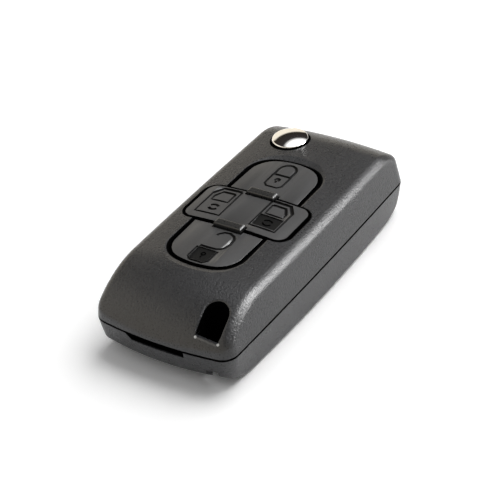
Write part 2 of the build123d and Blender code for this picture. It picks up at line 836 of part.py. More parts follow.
def board_carrier():
    """Moulded frame that holds the board above and the battery below, and roofs the blade's slot."""
    low = carrier_top - carrier_thickness
    plate = prism(board_outline(carrier_clearance + carrier_rim), low, board_top + carrier_rim_rise)
    plate -= prism(board_outline(carrier_clearance), carrier_top, board_top + 1)
    well = cell_radius + cell_clearance
    plate += disc(cell_x, cell_y, well + cell_ring_wall, cell_bottom + carrier_ring_lift, carrier_top)
    plate -= disc(cell_x, cell_y, well, 0, carrier_top + 1)
    wall_start = board_front + carrier_thickness
    wall_bottom = parting + tongue_clearance
    plate += box(slot_inner, slot_inner + slot_rib_wall, wall_start, board_notch, wall_bottom, carrier_top)
    room_x = coil_length / 2 + coil_room_end
    room_y = coil_width / 2 + coil_room_side
    plate -= box(coil_x - room_x, coil_x + room_x, coil_y - room_y, coil_y + room_y, 0, carrier_top + 1)
    contact_x = rim_contact_width / 2 + rim_contact_room
    contact_start = cell_y + cell_radius - 1
    plate -= box(
        cell_x - contact_x, cell_x + contact_x, contact_start, rim_contact_end, 0, carrier_top + 1)
    for x, y in board_pins():
        plate += disc(x, y, board_pin_radius, low, board_top + board_pin_rise)
    return plate


def circuit_board():
    """The printed board, with its corners eased and its two pin holes."""
    board = prism(board_outline(0), board_bottom, board_top)
    for x, y in board_pins():
        board -= disc(x, y, board_pin_radius + board_pin_clearance, board_bottom - 1, board_top + 1)
    corners = []
    for edge in board.edges().filter_by(Axis.Z).filter_by(GeomType.LINE):
        at_notch = abs(edge.center().Y - board_notch) < 0.1
        at_hole = any(abs(edge.center().Y - y) < board_pin_radius for x, y in board_pins())
        if not at_hole and not (at_notch and edge.center().X > slot_inner):
            corners.append(edge)
    return fillet(corners, board_corner)


def coin_cell():
    """A lithium coin cell: a can with a smaller stepped lid on top."""
    cell_top = cell_bottom + cell_thickness
    can = disc(cell_x, cell_y, cell_radius, cell_bottom, cell_top - cell_lid_drop)
    can = fillet(can.edges().group_by(Axis.Z)[0], cell_edge_radius)
    lid = disc(cell_x, cell_y, cell_lid_radius, cell_top - cell_lid_height, cell_top)
    return can + fillet(lid.edges().group_by(Axis.Z)[-1], cell_lid_edge)


def negative_contact():
    """A bent leaf spring under the board that presses on the cell's lid."""
    solder = board_bottom - contact_thickness / 2
    touch = cell_bottom + cell_thickness + contact_thickness / 2
    bends = [
        (cell_x - leaf_foot_start, solder), (cell_x - leaf_foot_end, solder),
        (cell_x + leaf_touch_start, touch), (cell_x + leaf_touch_end, touch),
        (cell_x + leaf_tip, touch + leaf_tip_rise),
    ]
    strip = trace(Polyline(*bends), contact_thickness)
    strip = Plane(origin=(0, cell_y + leaf_width / 2, 0), x_dir=(1, 0, 0), z_dir=(0, -1, 0)) * strip
    return extrude(strip, amount=leaf_width, dir=(0, -1, 0))


def positive_contact():
    """A bent strip that stands at the cell's rim and is soldered under the board."""
    solder = board_bottom - contact_thickness / 2
    rim = cell_y + cell_radius + contact_thickness / 2
    foot = rim + rim_contact_foot
    bends = [(rim, cell_bottom + rim_contact_lift), (rim, solder), (foot, solder)]
    strip = trace(Polyline(*bends), contact_thickness)
    side = cell_x + rim_contact_width / 2
    strip = Plane(origin=(side, 0, 0), x_dir=(0, 1, 0), z_dir=(1, 0, 0)) * strip
    return extrude(strip, amount=rim_contact_width, dir=(-1, 0, 0))


def antenna_coil():
    """A ferrite core with its winding, soldered under the board."""
    core_x = coil_length / 2
    core_y = coil_width / 2
    core = box(
        coil_x - core_x, coil_x + core_x, coil_y - core_y, coil_y + core_y,
        board_bottom - coil_height, board_bottom)
    wound_x = winding_length / 2
    wound_y = core_y + winding_overhang
    winding = box(
        coil_x - wound_x, coil_x + wound_x, coil_y - wound_y, coil_y + wound_y,
        board_bottom - coil_height - winding_below, board_bottom)
    return core + fillet(winding.edges().filter_by(Axis.X), winding_edge)


def transmitter_chip():
    """The radio chip on the board's upper side, beside the unlock switch."""
    x = pad_x + chip_x
    y = board_front + chip_from_board_front
    across = chip_width / 2
    along = chip_length / 2
    foot = board_top + chip_stand
    body = box(x - across, x + across, y - along, y + along, foot, foot + chip_height)
    across += leg_reach
    along -= leg_inset
    return body + box(x - across, x + across, y - along, y + along, board_top, board_top + leg_height)


def transponder():
    """The immobiliser's coded glass capsule, lying in the lower cover's far corner."""
    capsule = Cylinder(transponder_radius, transponder_length)
    capsule = fillet(capsule.edges(), 0.8 * transponder_radius)
    return Pos(transponder_x, transponder_y, floor_wall + transponder_radius) * Rot(90, 0, 0) * capsule


def blade_hub():
    """The turning hub: a cup open at both ends with the lug that grips the blade's root."""
    low = blade_middle - lug_height / 2
    high = blade_middle + lug_height / 2
    tangent_x = release_x + hub_radius * cos(radians(lug_tangent))
    tangent_y = release_y + hub_radius * sin(radians(lug_tangent))
    lug_outline = Face(Wire(Polyline(
        (blade_outer, lug_end), (lug_inner, lug_end), (lug_inner, release_y),
        (tangent_x, tangent_y), (blade_outer, release_y - lug_shoulder), close=True)))
    lug = prism(lug_outline, low, high)
    outer_corners = lug.edges().filter_by(Axis.Z).sort_by(Axis.X)[:2]
    lug = fillet(outer_corners, lug_corner)
    hub = disc(release_x, release_y, hub_radius, hub_bottom, hub_top) + lug
    hub -= disc(release_x, release_y, hub_cup_radius, hub_floor_top, hub_top + 1)
    hub -= disc(release_x, release_y, hub_cup_radius - hub_ledge, hub_bottom - 1, hub_floor_bottom)
    hub -= disc(release_x, release_y, neck_radius + neck_clearance, hub_bottom, hub_top)
    hub -= blade_blank(blade_groove=False)
    hub -= disc(*pin_place(), pin_radius, low - 1, high + 1)
    slot_half = wing_width / 2 + wing_clearance
    slot_low = plunger_disc_bottom - release_travel - wing_end_gap
    for hand in (1, -1):
        wing_y = sorted((release_y + hand * hub_cup_radius * 0.9, release_y + hand * (hub_radius + 1)))
        hub -= box(release_x - slot_half, release_x + slot_half, *wing_y, slot_low, hub_top + 1)
    return hub


def pin_place():
    """Where the roll pin crosses the lug and the blade."""
    return ((blade_outer + blade_inner) / 2, lug_end + blade_seat / 2)


def blade_blank(blade_groove=True):
    """The uncut key blade with a long groove in each flat, seated in the hub's lug."""
    middle = (blade_outer + blade_inner) / 2
    low = blade_middle - blade_thickness / 2
    high = blade_middle + blade_thickness / 2
    tip = blade_tip + blade_tip_chamfer
    nose = blade_tip_width / 2
    outline = Face(Wire(Polyline(
        (blade_outer, tip), (middle - nose, blade_tip), (middle + nose, blade_tip), (blade_inner, tip),
        (blade_inner, lug_end + blade_seat), (blade_outer, lug_end + blade_seat), close=True)))
    blade = prism(outline, low, high)
    if blade_groove:
        half = blade_groove_width / 2
        groove_end = lug_end - blade_groove_end
        for face_low in (high - blade_groove_depth, low + blade_groove_depth - blade_thickness):
            face_high = face_low + blade_thickness
            blade -= box(middle - half, middle + half, blade_tip - 1, groove_end, face_low, face_high)
    return blade


def key_blade():
    """The blade with its pin hole."""
    return blade_blank() - disc(*pin_place(), pin_radius, 0, top)


def blade_pin():
    """The roll pin through the lug and the blade's root."""
    low = blade_middle - lug_height / 2
    high = blade_middle + lug_height / 2
    pin = disc(*pin_place(), pin_radius, low, high)
    return pin - disc(*pin_place(), pin_bore, low - 1, high + 1)


def release_plunger():
    """The plunger that the button presses: a winged disc on a stem, with a neck through the hub's floor."""
    disc_top = plunger_disc_bottom + plunger_disc_thickness
    stem_bottom = hub_floor_top + release_travel + stem_end_gap
    plunger = disc(release_x, release_y, plunger_disc_radius, plunger_disc_bottom, disc_top)
    wing_bottom = plunger_disc_bottom
    plunger += box(
        release_x - wing_width / 2, release_x + wing_width / 2,
        release_y - wing_radius, release_y + wing_radius, wing_bottom, wing_bottom + wing_height)
    plunger += disc(release_x, release_y, stem_radius, stem_bottom, plunger_disc_bottom)
    plunger += disc(release_x, release_y, neck_radius, hub_floor_bottom, stem_bottom)
    plunger += disc(release_x, release_y, cap_radius - cap_wall, disc_top, cap_edge() - cap_wall)
    bore_top = hub_floor_bottom + screw_length
    return plunger - disc(release_x, release_y, screw_radius, 0, bore_top)


def cap_edge():
    """The height of the release cap's rim above the case's crown at the release axis."""
    crown_drop = crown_radius - sqrt(crown_radius ** 2 - release_x ** 2)
    return top - crown_drop + cap_proud


def release_cap():
    """The domed chrome cap, pressed on the plunger."""
    edge = cap_edge()
    dome = (cap_radius ** 2 + cap_dome ** 2) / (2 * cap_dome)
    dome_centre = edge + cap_dome - dome
    half_way = cap_radius / 2
    inner = cap_radius - cap_wall
    ceiling = edge - cap_wall
    half_section = Face(Wire([
        ThreePointArc(
            (0, 0, edge + cap_dome),
            (half_way, 0, dome_centre + sqrt(dome ** 2 - half_way ** 2)),
            (cap_radius, 0, edge)),
        Line((cap_radius, 0, edge), (cap_radius, 0, edge - cap_skirt)),
        Line((cap_radius, 0, edge - cap_skirt), (inner, 0, edge - cap_skirt)),
        Line((inner, 0, edge - cap_skirt), (inner, 0, ceiling)),
        Line((inner, 0, ceiling), (0, 0, ceiling)),
        Line((0, 0, ceiling), (0, 0, edge + cap_dome)),
    ]))
    cap = revolve(half_section, Axis.Z)
    rim = [e for e in cap.edges() if abs(e.center().Z - edge) < 0.01 and e.length > 2 * cap_radius]
    return Pos(release_x, release_y, 0) * fillet(rim, cap_rim_radius)


def hub_washer():
    """The washer under the hub's floor that holds the plunger against its spring."""
    face = hub_floor_bottom
    return ring(release_x, release_y, washer_radius, screw_radius, face - washer_thickness, face)


def hub_screw():
    """The screw that holds the washer on the plunger's neck."""
    seat = hub_floor_bottom - washer_thickness
    head = disc(release_x, release_y, screw_head_radius, seat - screw_head_height, seat)
    head = fillet(head.edges().group_by(Axis.Z)[0], screw_edge_radius)
    half = screw_slot_length / 2
    side = screw_slot_width / 2
    head -= box(
        release_x - half, release_x + half, release_y - side, release_y + side,
        seat - screw_head_height - 1, seat - screw_head_height + screw_slot_depth)
    return head + disc(release_x, release_y, screw_radius, seat, hub_floor_bottom + screw_length)


def flip_spring():
    """The coil in the hub's cup: it turns the blade out and lifts the button."""
    low = hub_floor_top + spring_wire / 2 + spring_end_gap
    high = plunger_disc_bottom - spring_wire / 2 - spring_end_gap
    pitch = (high - low) / spring_turns
    path = Helix(pitch, high - low, spring_radius)
    start = path @ 0
    section = Plane(origin=start, z_dir=path % 0) * Circle(spring_wire / 2)
    coil = sweep(section, path=path, is_frenet=True)
    return Pos(release_x, release_y, low) * coil


os.makedirs("parts", exist_ok=True)
pieces = {
    "top_cover": top_cover(),
    "bottom_cover": bottom_cover(),
    "lock_button": long_key(1),
    "unlock_button": long_key(-1),
    "door_rocker": door_rocker(),
    "keypad_mat": keypad_mat(),
    "circuit_board": circuit_board(),
    "board_carrier": board_carrier(),
    "coin_cell": coin_cell(),
    "negative_contact": negative_contact(),
    "positive_contact": positive_contact(),
    "antenna_coil": antenna_coil(),
    "transmitter_chip": transmitter_chip(),
    "transponder": transponder(),
    "blade_hub": blade_hub(),
    "key_blade": key_blade(),
    "blade_pin": blade_pin(),
    "release_plunger": release_plunger(),
    "release_cap": release_cap(),
    "hub_washer": hub_washer(),
    "hub_screw": hub_screw(),
    "flip_spring": flip_spring(),
}
for name, place in switch_places().items():
    pieces[name] = tact_switch(*place)
for name, piece in pieces.items():
    piece.label = name
    export_step(piece, os.path.join("parts", name + ".step"))
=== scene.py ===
import bpy
import math
from mathutils import Matrix, Vector


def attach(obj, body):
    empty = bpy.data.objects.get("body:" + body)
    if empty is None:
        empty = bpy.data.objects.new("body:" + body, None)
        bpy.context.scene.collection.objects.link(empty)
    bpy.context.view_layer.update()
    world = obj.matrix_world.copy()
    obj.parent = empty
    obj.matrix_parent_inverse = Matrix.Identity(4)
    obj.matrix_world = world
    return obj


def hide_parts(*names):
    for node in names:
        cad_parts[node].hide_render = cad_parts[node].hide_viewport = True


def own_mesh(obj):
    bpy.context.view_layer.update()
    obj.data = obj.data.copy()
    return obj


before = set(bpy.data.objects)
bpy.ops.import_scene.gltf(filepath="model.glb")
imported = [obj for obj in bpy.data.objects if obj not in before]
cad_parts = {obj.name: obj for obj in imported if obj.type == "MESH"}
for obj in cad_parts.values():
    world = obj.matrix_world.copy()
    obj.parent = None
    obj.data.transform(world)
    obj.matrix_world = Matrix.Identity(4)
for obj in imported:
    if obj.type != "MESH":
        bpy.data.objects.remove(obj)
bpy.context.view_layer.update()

# Covers: two injection-moulded shells in black ABS that snap together. The spark-eroded mould
# leaves a fine grain that breaks up the light along the shoulders. Two painted glints at the ends
# of the keyring slot's lip, and a painted highlight along the lip between them, are pale. Painted
# shade makes the narrow gaps, the slots, the parting line and the button's bore plain black.


class Value:
    """One value of a node tree: the usual operators add Math nodes to the tree."""

    def __init__(self, work, socket):
        self.work = work
        self.socket = socket

    def maths(self, operation, first, second=0):
        return self.work.node("ShaderNodeMath", {"operation": operation}, {0: first, 1: second})

    def __add__(self, other):
        return self.maths("ADD", self, other)

    def __radd__(self, other):
        return self.maths("ADD", other, self)

    def __sub__(self, other):
        return self.maths("SUBTRACT", self, other)

    def __rsub__(self, other):
        return self.maths("SUBTRACT", other, self)

    def __mul__(self, other):
        return self.maths("MULTIPLY", self, other)

    def __rmul__(self, other):
        return self.maths("MULTIPLY", other, self)

    def __truediv__(self, other):
        return self.maths("DIVIDE", self, other)

    def __gt__(self, other):
        return self.maths("GREATER_THAN", self, other)

    def __lt__(self, other):
        return self.maths("LESS_THAN", self, other)

    def root(self):
        return self.maths("SQRT", self)

    def size(self):
        """The value without its sign."""
        return self.maths("ABSOLUTE", self)

    def at_least(self, low):
        return self.maths("MAXIMUM", self, low)


class NodeWork:
    """A node tree, and the one way in which nodes are added to it."""

    def __init__(self, tree):
        self.tree = tree

    def node(self, kind, settings=None, inputs=None, output=0):
        """Adds a node: its settings first, then the values or links of its sockets."""
        node = self.tree.nodes.new(kind)
        for setting, value in (settings or {}).items():
            if setting == "stops":
                stops = node.color_ramp.elements
                while len(stops) < len(value):
                    stops.new(0.5)
                for stop, (place, colour) in zip(stops, value):
                    stop.position = place
                    stop.color = (*colour, 1)
            else:
                setattr(node, setting, value)
        for socket, value in (inputs or {}).items():
            self.feed(node.inputs[socket], value)
        if node.outputs:
            return Value(self, node.outputs[output])

    def feed(self, socket, value):
        if isinstance(value, Value):
            self.tree.links.new(value.socket, socket)
        else:
            socket.default_value = value


class Finish(NodeWork):
    """The finish of one kind of piece: a principled surface and the nodes that vary it."""

    def __init__(self, name, metallic=0.0, **constants):
        self.material = bpy.data.materials.new(name)
        self.material.use_nodes = True
        super().__init__(self.material.node_tree)
        self.surface = self.tree.nodes["Principled BSDF"]
        self.surface.inputs["Metallic"].default_value = metallic
        for socket, value in constants.items():
            self.surface.inputs[socket.replace("_", " ")].default_value = value

    def place(self, stretch=(1, 1, 1)):
        """The point on the piece, in metres, stretched along the axes."""
        point = self.node("ShaderNodeTexCoord", output="Object")
        return self.node("ShaderNodeMapping", inputs={"Vector": point, "Scale": stretch})

    def spot(self):
        """The point on the piece as three values, in millimetres."""
        split = self.node("ShaderNodeSeparateXYZ", inputs={"Vector": self.place((1 / mm,) * 3)})
        return [Value(self, part) for part in split.socket.node.outputs]

    def noise(self, size, detail=2.0, roughness=0.5, stretch=(1, 1, 1)):
        """Cloudy variation from 0 to 1 whose features are about size millimetres across."""
        return self.node("ShaderNodeTexNoise", inputs={
            "Vector": self.place(stretch), "Scale": 1 / (size * mm), "Detail": detail,
            "Roughness": roughness})

    def blend(self, share, first, second):
        """A colour between two others."""
        ends = [end if isinstance(end, Value) else (*end, 1) for end in (first, second)]
        return self.node(
            "ShaderNodeMix", {"data_type": "RGBA"}, {0: share, 6: ends[0], 7: ends[1]}, output=2)

    def colour(self, value):
        self.feed(self.surface.inputs["Base Color"], value)

    def roughness(self, value):
        self.feed(self.surface.inputs["Roughness"], value)

    def relief(self, height, depth):
        """Raises and sinks the surface by depth millimetres."""
        self.feed(self.surface.inputs["Normal"], self.node(
            "ShaderNodeBump", inputs={"Height": height, "Distance": depth * mm}))

    def paint_black_shade(self, mask):
        """Paints shade: the surface is plain black where mask is 1, standing in for the shade in a
        gap.
        """
        black = self.node("ShaderNodeBsdfDiffuse", inputs={"Color": (*painted_shade_black, 1)})
        surface = Value(self, self.surface.outputs[0])
        self.feed(self.tree.nodes["Material Output"].inputs["Surface"], self.node(
            "ShaderNodeMixShader", inputs={0: mask, 1: surface, 2: black}))


def within(value, low, high):
    """1 where a value lies between two others."""
    return (value > low) * (value < high)


def in_box(spot, *spans):
    """1 where a point lies in a box, given by its (low, high) along x, y and z."""
    mask = within(spot[0], *spans[0])
    for value, span in zip(spot[1:], spans[1:]):
        mask = mask * within(value, *span)
    return mask


def any_of(*masks):
    """1 where at least one of the masks is 1."""
    none = 1 - masks[0]
    for mask in masks[1:]:
        none = none * (1 - mask)
    return 1 - none


def reach(spot, middle):
    """How far a point lies from a middle, in millimetres, along the axes that the middle gives."""
    squares = [(value - centre) * (value - centre) for value, centre in zip(spot, middle)]
    return sum(squares[1:], squares[0]).root()


def band_reach(spot, half_x, half_y, corner):
    """How far a point lies outside the band's rounded outline, in millimetres; negative inside."""
    past_x = ((spot[0] - pad_x).size() - (half_x - corner)).at_least(0)
    past_y = ((spot[1] - pad_y).size() - (half_y - corner)).at_least(0)
    return (past_x * past_x + past_y * past_y).root() - corner


def moulded_plastic(name, grain_size, grain_depth, dark, light, smooth, rough, gloss=0.5):
    """Moulded plastic: clouds and a grain vary its colour and gloss, and the grain its surface."""
    finish = Finish(name, Specular_IOR_Level=gloss)
    clouds = finish.noise(cloud_size, detail=3.0)
    finish.grain = finish.noise(grain_size, detail=2.5, roughness=0.65)
    mottle = grain_share * finish.grain + (1 - grain_share) * clouds
    finish.base = finish.blend(mottle, dark, light)
    finish.colour(finish.base)
    finish.roughness(smooth + (rough - smooth) * mottle)
    if grain_depth:
        finish.relief(finish.grain, grain_depth)
    return finish


def dress(material, *names):
    """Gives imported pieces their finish."""
    for name in names:
        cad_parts[name].data.materials.clear()
        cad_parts[name].data.materials.append(material)


mm = 0.001
cloud_size = 9.0
grain_share = 0.75
cover_grain_depth = 0.105
# Painted shade: the plain black that stands for the shade in narrow gaps, slots and bores.
painted_shade_black = (0.002, 0.002, 0.002)

# The key pad's middle, and its gaps in the upper cover above the window's floor, which are painted
# black as shade.
pad_x = -0.3
pad_y = -1.6
window_floor = 12.0
lobes_span = (-9.6, 9.0), (-21.9, 18.7), (window_floor, 17.19)
band_half_x = 13.1
band_half_y = 6.25
band_corner = 3.0
band_gap_rim = 0.24
band_gap_top = 17.35

# The two bars that are raised on the webs, smoother than the rest.
bars_span = (-3.7, 3.1), (-9.2, 6.0)
bars_black = (0.022, 0.022, 0.022)

# The keyring slot: straight sides, a round end, and a painted highlight along the lip between two
# painted glints at its ends.
slot_x = 10.85
slot_half = 2.66
slot_near_y = -33.64
slot_round_y = -30.15
slot_shade_from = 4.7
lip_span = (8.7, 13.4), (-34.60, -34.36), (10.0, 12.0)
lip_highlight_grey = (0.085, 0.085, 0.085)
painted_glint_spots = (8.50, -34.44, 11.26), (13.61, -34.26, 10.99)
painted_glint_radius = 0.30
painted_glint_pale = (0.60, 0.60, 0.58)

# The parting line, the slot for prying the covers apart, and the release button's bore, all painted
# black as shade.
parting_line = (7.74, 8.24)
pry_span = (-8.6, 6.5), (-36.0, -33.0), (6.4, 8.25)
release_x = -6.5
release_y = 25.8
bore_radius = 4.55

grained_abs = moulded_plastic(
    "grained_abs", grain_size=0.40, grain_depth=0,
    dark=(0.004, 0.004, 0.005), light=(0.047, 0.048, 0.051), smooth=0.21, rough=0.36)
spot = grained_abs.spot()
y, z = spot[1:]
bars = in_box(spot, *bars_span)
grained_abs.relief(grained_abs.grain * (1 - bars), cover_grain_depth)
# Painted highlights: two pale glints at the ends of the slot's lip and a grey highlight line along
# it.
glint_mask = any_of(*(reach(spot, middle) < painted_glint_radius for middle in painted_glint_spots))
barred = grained_abs.blend(bars, grained_abs.base, bars_black)
with_lip_highlight = grained_abs.blend(in_box(spot, *lip_span), barred, lip_highlight_grey)
grained_abs.colour(grained_abs.blend(glint_mask, with_lip_highlight, painted_glint_pale))
# Painted shade: the keyring slot's inside above a set height, the parting line, the pry slot, the
# window round the keys, the gap round the band and the button's bore are plain black.
slot_straight = (z > slot_shade_from) * in_box(
    spot, (slot_x - slot_half, slot_x + slot_half), (slot_near_y, slot_round_y))
slot_round = (y > slot_round_y) * (reach(spot, (slot_x, slot_round_y)) < slot_half)
band_gap = within(z, window_floor, band_gap_top) * (
    band_reach(spot, band_half_x, band_half_y, band_corner) < band_gap_rim)
bore_gap = (z > window_floor) * (reach(spot, (release_x, release_y)) < bore_radius)
grained_abs.paint_black_shade(any_of(
    slot_straight, slot_round, within(z, *parting_line), in_box(spot, *pry_span),
    in_box(spot, *lobes_span), band_gap, bore_gap))
dress(grained_abs.material, "top_cover", "bottom_cover")

# Keys: three satin black mouldings with a shallow crown. Their marks are ribs in the mould, so that
# they come out as grooves and sunk panels about a fifth of a millimetre deep. Painted shade makes
# the marks near black, and the keys' sides and edge lines plain black.

key_crown_radius = 125.0
long_key_top = 17.45
rocker_top = 17.70
band_row = (-7.65, 4.45)
key_edge = 0.03
rocker_half_x = 12.55
rocker_half_y = 6.08
rocker_corner = 2.45
rocker_rim = (-0.2, 0.03)
near_web_row = (-8.3, -7.9)
far_web_row = (4.7, 5.1)

satin_black = moulded_plastic(
    "satin_black", grain_size=0.22, grain_depth=0.006,
    dark=(0.046, 0.046, 0.047), light=(0.058, 0.058, 0.059), smooth=0.36, rough=0.46)
spot = satin_black.spot()
x, y, z = spot
crown_top = within(y, *band_row) * (rocker_top - long_key_top) + long_key_top
below_crown = crown_top - z - x * x / (2 * key_crown_radius)
rim = within(band_reach(spot, rocker_half_x, rocker_half_y, rocker_corner), *rocker_rim)
# Painted shade: the keys' sides below the crown, a line round the rocker's rim and two lines where
# the long keys meet the webs are plain black.
satin_black.paint_black_shade(any_of(
    below_crown > key_edge, rim, within(y, *near_web_row), within(y, *far_web_row)))

# Painted shade: the cut grooves and sunk panels take this near-black, dull finish, which stands for
# the shade in them.
mark_shade_black = moulded_plastic(
    "mark_shade_black", grain_size=0.3, grain_depth=0.004,
    dark=(0.0015, 0.0015, 0.0015), light=(0.0030, 0.0030, 0.0030), smooth=0.50, rough=0.65,
    gloss=0.12)

groove_radius = 0.28
groove_sink = 0.02
raised_radius = 0.13
panel_sink = 0.22
above_key = 1
bar_sides = 8
bar_step = 1.5
weld_reach = 0.001
sharp_angle = 28
floor_level = 0.99

stroke_bars = bpy.data.node_groups.new("stroke_bars", "GeometryNodeTree")
stroke_bars.interface.new_socket("Strokes", in_out="INPUT", socket_type="NodeSocketGeometry")
bar_radius_input = stroke_bars.interface.new_socket(
    "Radius", in_out="INPUT", socket_type="NodeSocketFloat")
bar_finish_input = stroke_bars.interface.new_socket(
    "Finish", in_out="INPUT", socket_type="NodeSocketMaterial")
stroke_bars.interface.new_socket("Bars", in_out="OUTPUT", socket_type="NodeSocketGeometry")
bar_work = NodeWork(stroke_bars)
bar_profile = bar_work.node("GeometryNodeCurvePrimitiveCircle", inputs={
    "Resolution": bar_sides, "Radius": bar_work.node("NodeGroupInput", output="Radius")})
swept_bars = bar_work.node("GeometryNodeCurveToMesh", inputs={
    "Curve": bar_work.node("NodeGroupInput", output="Strokes"), "Profile Curve": bar_profile,
    "Scale": bar_work.node("GeometryNodeInputRadius"), "Fill Caps": True})
real_bars = bar_work.node("GeometryNodeRealizeInstances", inputs={"Geometry": swept_bars})
bar_work.node("NodeGroupOutput", inputs={"Bars": bar_work.node(
    "GeometryNodeSetMaterial", inputs={
        "Geometry": real_bars, "Material": bar_work.node("NodeGroupInput", output="Finish")})})


def crown(x, top):
    """The height of a key's crowned face that is top millimetres high in the middle."""
    return top - key_crown_radius + math.sqrt(key_crown_radius ** 2 - x * x)


def arc(cx, cy, radius_x, radius_y, start, end, steps=10):
    """Points along part of an ellipse, in degrees anticlockwise from +X."""
    turns = [math.radians(start + (end - start) * i / steps) for i in range(steps + 1)]
    return [(cx + radius_x * math.cos(t), cy + radius_y * math.sin(t)) for t in turns]


def as_mesh(thing):
    """Turns a curve, or a piece with modifiers, into a plain mesh piece of the same name."""
    bpy.context.view_layer.update()
    shape = bpy.data.meshes.new_from_object(
        thing.evaluated_get(bpy.context.evaluated_depsgraph_get()))
    name = thing.name
    bpy.data.objects.remove(thing)
    return as_piece(name, shape)


def as_piece(name, shape):
    """Puts a shape into the scene."""
    piece = bpy.data.objects.new(name, shape)
    bpy.context.scene.collection.objects.link(piece)
    return piece


def bars_along(name, strokes, top, radius, sink, finish):
    """Round bars that follow each stroke along the crown. A stroke is (width share, points)."""
    lines = bpy.data.curves.new(name, "CURVE")
    lines.dimensions = "3D"
    for width, points in strokes:
        fine = [points[0]]
        for (x0, y0), (x1, y1) in zip(points, points[1:]):
            pieces = max(1, round(abs(x1 - x0) / bar_step))
            for i in range(1, pieces + 1):
                fine.append((x0 + (x1 - x0) * i / pieces, y0 + (y1 - y0) * i / pieces))
        spline = lines.splines.new("POLY")
        spline.points.add(len(fine) - 1)
        for point, (x, y) in zip(spline.points, fine):
            point.co = (x * mm, y * mm, (crown(x, top) - sink) * mm, 1)
            point.radius = width
    tool = as_piece(name, lines)
    sweep = tool.modifiers.new("bars", "NODES")
    sweep.node_group = stroke_bars
    sweep[bar_radius_input.identifier] = radius * mm
    sweep[bar_finish_input.identifier] = finish.material
    return as_mesh(tool)


def panels_below(name, outlines, top, finish):
    """Prisms whose floors lie below the crown. Each outline is a list of points."""
    points = []
    faces = []
    for outline in outlines:
        count = len(outline)
        start = len(points)
        for height in (-panel_sink, above_key):
            points += [(x * mm, y * mm, (crown(x, top) + height) * mm) for x, y in outline]
        faces.append([start + i for i in reversed(range(count))])
        faces.append([start + count + i for i in range(count)])
        for i in range(count):
            j = (i + 1) % count
            faces.append([start + i, start + j, start + count + j, start + count + i])
    shape = bpy.data.meshes.new(name)
    shape.from_pydata(points, [], faces)
    shape.materials.append(finish.material)
    return as_piece(name, shape)


def welded_copy(name, node, material):
    """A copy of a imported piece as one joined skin, in one finish."""
    piece = as_piece(name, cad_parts[node].data.copy())
    joined = piece.modifiers.new("joined", "WELD")
    joined.merge_threshold = weld_reach * mm
    piece = as_mesh(piece)
    piece.data.materials.clear()
    piece.data.materials.append(material)
    return piece


def engrave(name, node, body, top, grooves, panels=(), raised=()):
    """Replaces a packed key by a copy with its marks cut in, and strokes raised in its panels."""
    key = welded_copy(name, node, satin_black.material)
    tools = [bars_along(name + "_grooves", grooves, top, groove_radius, groove_sink, mark_shade_black)]
    if panels:
        tools.append(panels_below(name + "_panels", panels, top, mark_shade_black))
    for tool in tools:
        cut = key.modifiers.new("cut", "BOOLEAN")
        cut.operation = "DIFFERENCE"
        cut.solver = "EXACT"
        cut.material_mode = "TRANSFER"
        cut.use_self = True
        cut.object = tool
        key = as_mesh(key)
        bpy.data.objects.remove(tool)
    if raised:
        strokes = bars_along(
            name + "_strokes", raised, top, raised_radius, panel_sink, satin_black)
        with bpy.context.temp_override(
                active_object=key, object=key, selected_editable_objects=[key, strokes]):
            bpy.ops.object.join()
    key.data.shade_smooth()
    key.data.set_sharp_from_angle(angle=math.radians(sharp_angle))
    # A mark's level floor meets its walls at a sharp corner, so it isn't smoothed into them.
    for face in key.data.polygons:
        if key.data.materials[face.material_index] == mark_shade_black.material:
            face.use_smooth = face.normal.z < floor_level
    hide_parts(node)
    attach(key, body)


padlock_body = [
    (-2.55, 12.75), (-2.55, 9.1), (-1.75, 8.3), (0.85, 8.3), (1.65, 9.1), (1.65, 12.75)]
padlock_lid = [(-2.55, 12.75), (1.65, 12.75)]
padlock_arch = [(-2.45, 12.75), *arc(-0.45, 14.75, 2.0, 2.1, 180, 0), (1.55, 12.75)]
keyhole_ring = arc(-0.55, 11.0, 0.42, 0.42, -50, 230)
keyhole_stem = [(-0.55, 10.6), (-0.55, 9.9)]
engrave("lock_key", "lock_button", "lock_key", long_key_top, [
    (1.0, padlock_body), (1.25, padlock_lid), (1.2, padlock_arch), (1.2, keyhole_ring),
    (1.0, keyhole_stem)])

open_panel = [
    (-2.3, -16.0), (-2.3, -19.5), (-1.6, -20.2), (1.25, -20.2), (1.95, -19.5), (1.95, -16.0)]
open_body = [
    (-2.6, -16.0), (-2.6, -19.6), (-1.7, -20.5), (1.35, -20.5), (2.25, -19.6), (2.25, -16.0)]
open_shackle = [
    (-2.35, -15.55), (-0.4, -15.6), (1.4, -15.5), (2.4, -15.0), (2.97, -14.2), (3.22, -12.9),
    (3.05, -11.3), (2.4, -10.3), (1.2, -9.75), (0.0, -9.95), (-0.75, -10.6), (-1.1, -11.3)]
open_keyhole = [
    (1.0, arc(-0.2, -17.6, 0.45, 0.45, -60, 240, 8)), (1.0, [(-0.2, -18.0), (-0.2, -18.9)])]
engrave(
    "unlock_key", "unlock_button", "unlock_key", long_key_top,
    [(1.2, open_shackle), (1.0, open_body)], [open_panel], open_keyhole)


def sliding_door(side, middle):
    """A van's sliding door from outside with its window, opening towards one side."""
    def place(points):
        return [(middle + side * x, y - 0.3) for x, y in points]
    outline = [
        (2.95, 3.95), (-1.5, 3.95), (-3.1, 1.75), (-3.05, -5.2), (3.05, -5.2), (3.0, 3.95)]
    window_top = [(2.1, 2.7), (-0.95, 2.75), (-2.1, 0.9)]
    window_sill = [(-2.1, 0.9), (-2.05, -0.45), (2.1, -0.45), (2.1, 2.7)]
    return [
        (1.0, place(outline)), (1.5, place(outline[:3])), (1.3, place(window_top)),
        (1.0, place(window_sill))]


